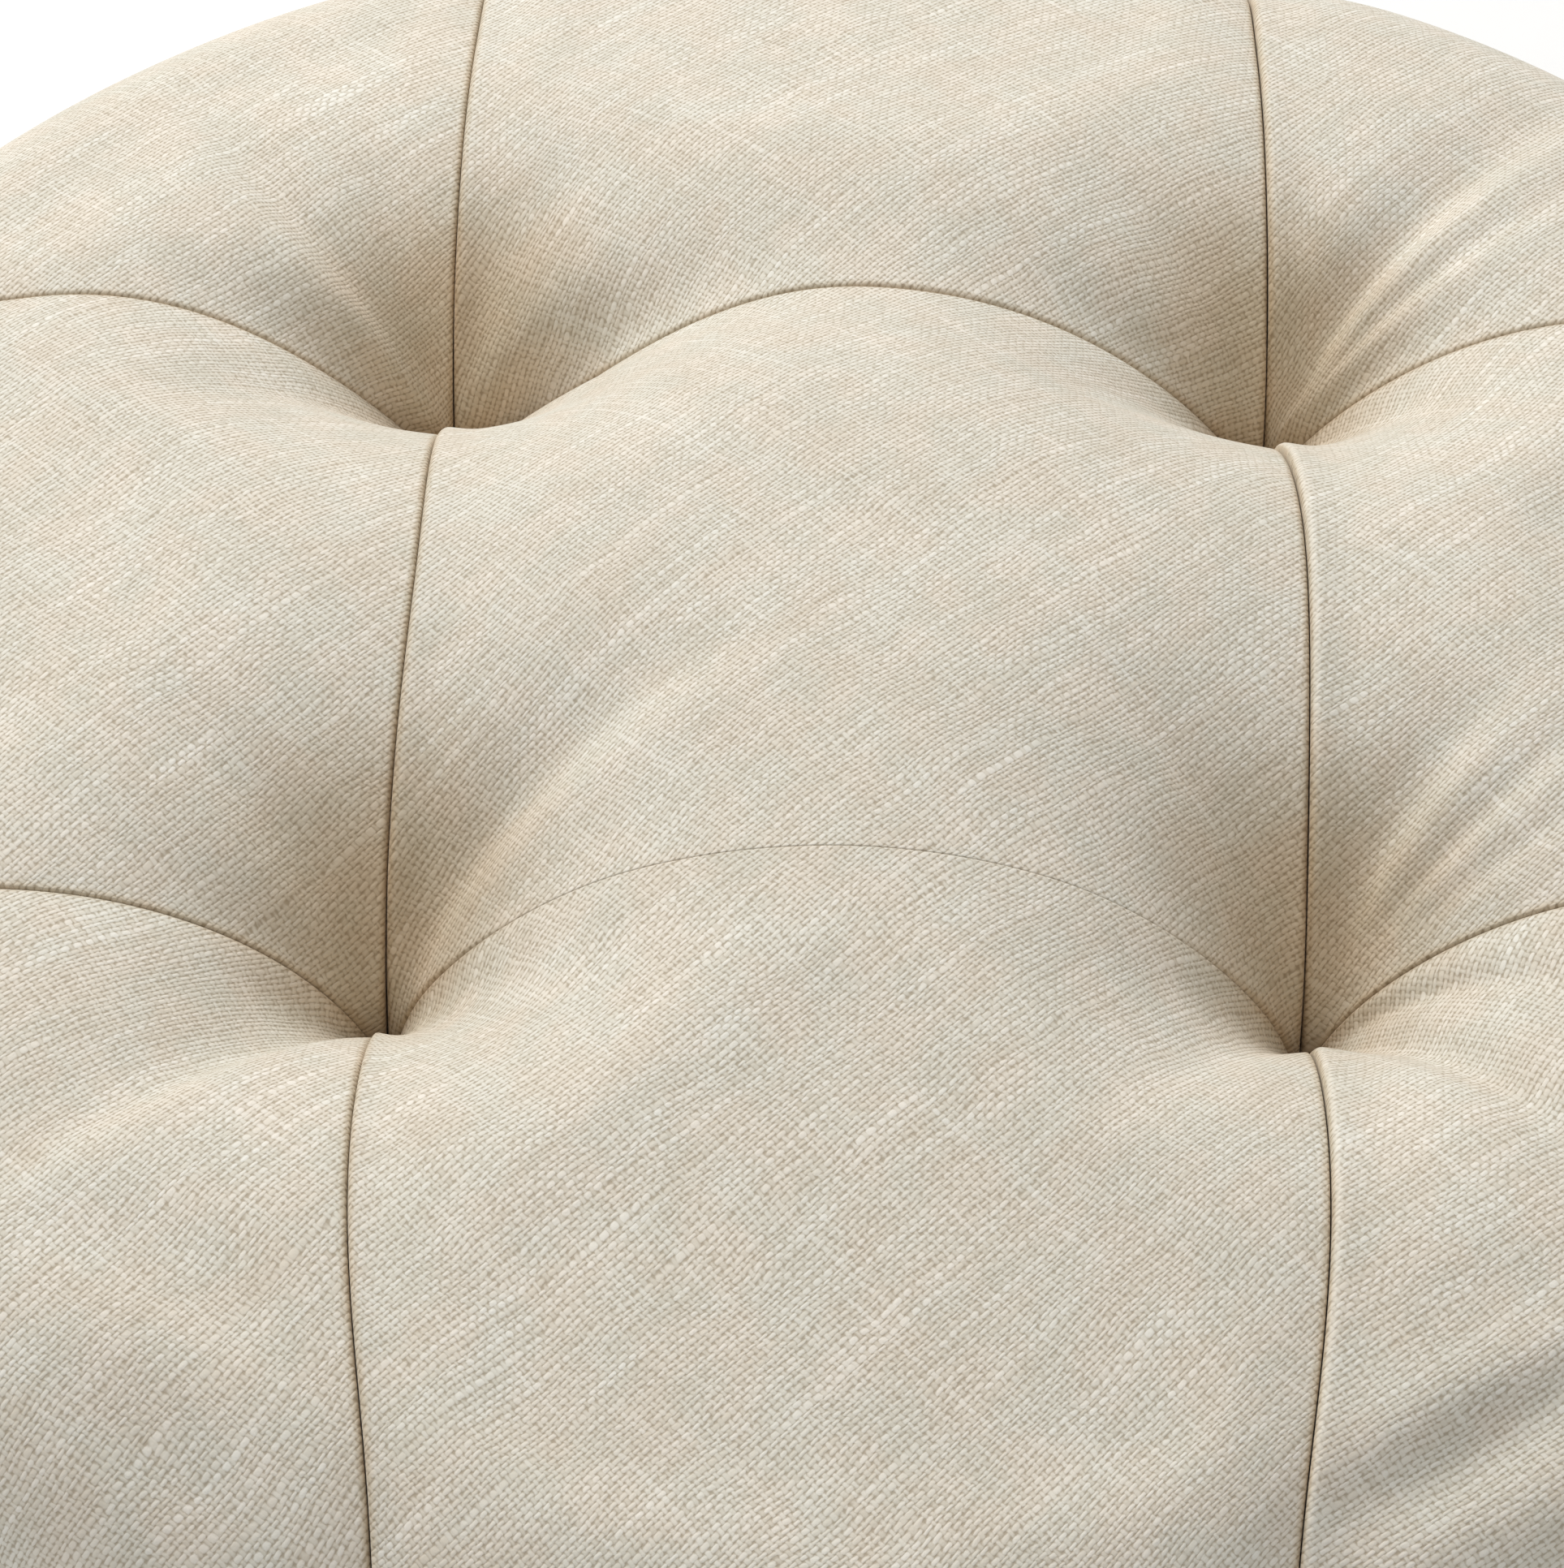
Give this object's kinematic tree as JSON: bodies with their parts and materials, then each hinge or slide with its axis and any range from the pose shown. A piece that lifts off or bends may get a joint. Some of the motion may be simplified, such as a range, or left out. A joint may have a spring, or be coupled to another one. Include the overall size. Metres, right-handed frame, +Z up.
{
  "type": "chair seat pad",
  "caption": "Round upholstered chair seat pad with a deep-tufted linen-look cover over foam and batting on a plywood board with threaded inserts.",
  "frame": {"origin": "centre of the flat underside, on the plane that the pad rests on", "axes": "+Z up out of the tufted top, +X to the sitter's right side as seen from the front, -Y to the front; the seams run along X and Y"},
  "size_m": [0.4, 0.4, 0.086],
  "materials": {
    "cover_linen": "plain linen-look weave with slubs, matte",
    "polyester_batting": "lofty white fibre, matte",
    "seat_foam": "open-cell polyurethane foam, matte",
    "plywood": "sanded, unfinished",
    "zinc_steel": "bright zinc plate",
    "webbing": "woven cotton tape, matte",
    "waxed_twine": "waxed twisted twine, satin",
    "tie_off_plastic": "moulded, matte",
    "dust_cloth": "spun-bonded cloth, matte"
  },
  "bodies": {
    "root": {"centre_panel": "cover_linen", "front_panel": "cover_linen", "back_panel": "cover_linen", "left_panel": "cover_linen", "right_panel": "cover_linen", "front_left_panel": "cover_linen", "front_right_panel": "cover_linen", "back_left_panel": "cover_linen", "back_right_panel": "cover_linen", "batting_wrap": "polyester_batting", "foam_core": "seat_foam", "seat_board": "plywood", "threaded_inserts": "zinc_steel", "front_left_tab": "webbing", "front_right_tab": "webbing", "back_left_tab": "webbing", "back_right_tab": "webbing", "front_left_twine": "waxed_twine", "front_right_twine": "waxed_twine", "back_left_twine": "waxed_twine", "back_right_twine": "waxed_twine", "front_left_button": "tie_off_plastic", "front_right_button": "tie_off_plastic", "back_left_button": "tie_off_plastic", "back_right_button": "tie_off_plastic", "cover_staples": "zinc_steel", "dust_cover": "dust_cloth", "dust_cover_staples": "zinc_steel"}
  },
  "joints": []
}
